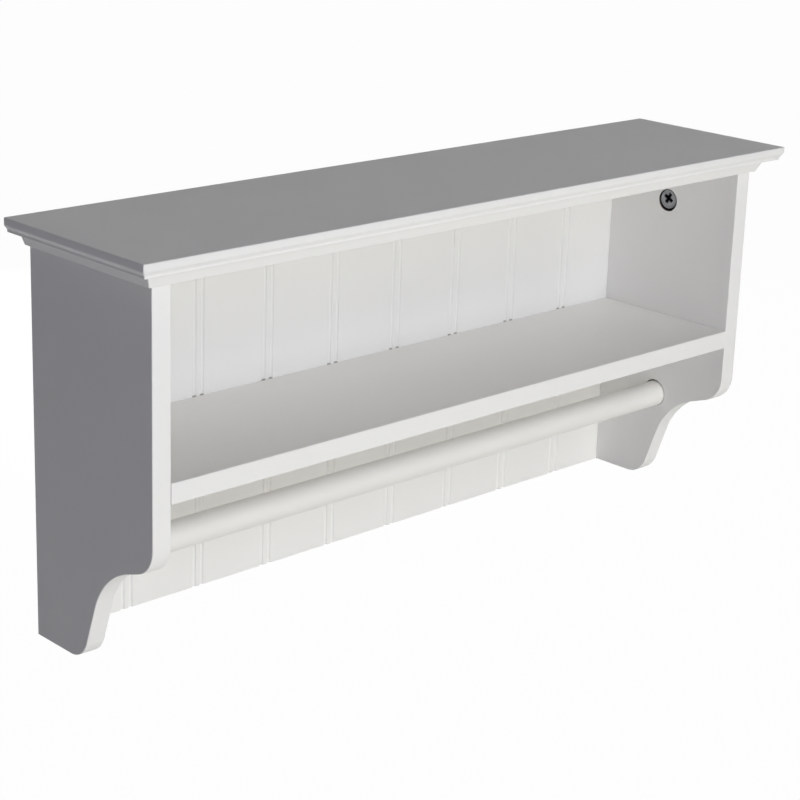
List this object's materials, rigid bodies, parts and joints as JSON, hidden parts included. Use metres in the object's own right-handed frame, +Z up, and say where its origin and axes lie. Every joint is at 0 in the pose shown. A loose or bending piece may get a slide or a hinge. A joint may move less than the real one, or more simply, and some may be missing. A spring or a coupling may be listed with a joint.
{
  "type": "wall shelf with towel bar",
  "caption": "White wall shelf with a round towel bar below it, S-curved side panels, a stepped top board and a grooved back panel, held together by cam locks and hung on keyhole hangers.",
  "frame": {"origin": "on the wall plane, at the middle of the top board's rear edge", "axes": "+X along the shelf, to the right as seen from the front; +Y into the wall; +Z up"},
  "size_m": [0.52, 0.124, 0.246],
  "materials": {
    "white_lacquer": "satin white paint on fibreboard",
    "white_back_panel": "satin white paint on thin grooved fibreboard",
    "die_cast_zinc": "plain die-cast zinc alloy",
    "zinc_plated_steel": "bright zinc plating",
    "beech": "bare beech"
  },
  "bodies": {
    "shelf_unit": {"top_board": "white_lacquer", "left_side_panel": "white_lacquer", "right_side_panel": "white_lacquer", "shelf_board": "white_lacquer", "hanging_rail": "white_lacquer", "back_panel": "white_back_panel", "top_cam_bolt_left": "zinc_plated_steel", "top_cam_bolt_right": "zinc_plated_steel", "shelf_cam_bolt_left": "zinc_plated_steel", "shelf_cam_bolt_right": "zinc_plated_steel", "keyhole_hanger_left": "zinc_plated_steel", "keyhole_hanger_right": "zinc_plated_steel", "hanger_screw_left_inner": "zinc_plated_steel", "hanger_screw_left_outer": "zinc_plated_steel", "hanger_screw_right_inner": "zinc_plated_steel", "hanger_screw_right_outer": "zinc_plated_steel", "back_pin_left_1": "zinc_plated_steel", "back_pin_left_2": "zinc_plated_steel", "back_pin_left_3": "zinc_plated_steel", "back_pin_right_1": "zinc_plated_steel", "back_pin_right_2": "zinc_plated_steel", "back_pin_right_3": "zinc_plated_steel", "back_pin_rail_1": "zinc_plated_steel", "back_pin_rail_2": "zinc_plated_steel", "back_pin_rail_3": "zinc_plated_steel", "back_pin_shelf_1": "zinc_plated_steel", "back_pin_shelf_2": "zinc_plated_steel", "back_pin_shelf_3": "zinc_plated_steel", "top_dowel_left_rear": "beech", "top_dowel_left_front": "beech", "top_dowel_right_rear": "beech", "top_dowel_right_front": "beech", "shelf_dowel_left_rear": "beech", "shelf_dowel_left_front": "beech", "shelf_dowel_right_rear": "beech", "shelf_dowel_right_front": "beech", "rail_dowel_left_upper": "beech", "rail_dowel_left_lower": "beech", "rail_dowel_right_upper": "beech", "rail_dowel_right_lower": "beech"},
    "rod": {"towel_rod": "white_lacquer"},
    "cam_top_left": {"top_cam_left": "die_cast_zinc"},
    "cam_top_right": {"top_cam_right": "die_cast_zinc"},
    "cam_shelf_left": {"shelf_cam_left": "die_cast_zinc"},
    "cam_shelf_right": {"shelf_cam_right": "die_cast_zinc"}
  },
  "joints": [
    {"name": "towel_rod_turn", "type": "hinge", "parent": "shelf_unit", "child": "rod", "pos_m": [0, -0.0516, -0.1749], "axis": [1, 0, 0], "continuous": true},
    {"name": "top_cam_left_lock", "type": "hinge", "parent": "shelf_unit", "child": "cam_top_left", "pos_m": [-0.232, -0.052, -0.0367], "axis": [1, 0, 0], "range_deg": [0, 180]},
    {"name": "top_cam_right_lock", "type": "hinge", "parent": "shelf_unit", "child": "cam_top_right", "pos_m": [0.232, -0.052, -0.0367], "axis": [-1, 0, 0], "range_deg": [0, 180]},
    {"name": "shelf_cam_left_lock", "type": "hinge", "parent": "shelf_unit", "child": "cam_shelf_left", "pos_m": [-0.2038, -0.052, -0.1285], "axis": [0, 0, -1], "range_deg": [0, 180]},
    {"name": "shelf_cam_right_lock", "type": "hinge", "parent": "shelf_unit", "child": "cam_shelf_right", "pos_m": [0.2038, -0.052, -0.1285], "axis": [0, 0, -1], "range_deg": [0, 180]}
  ]
}
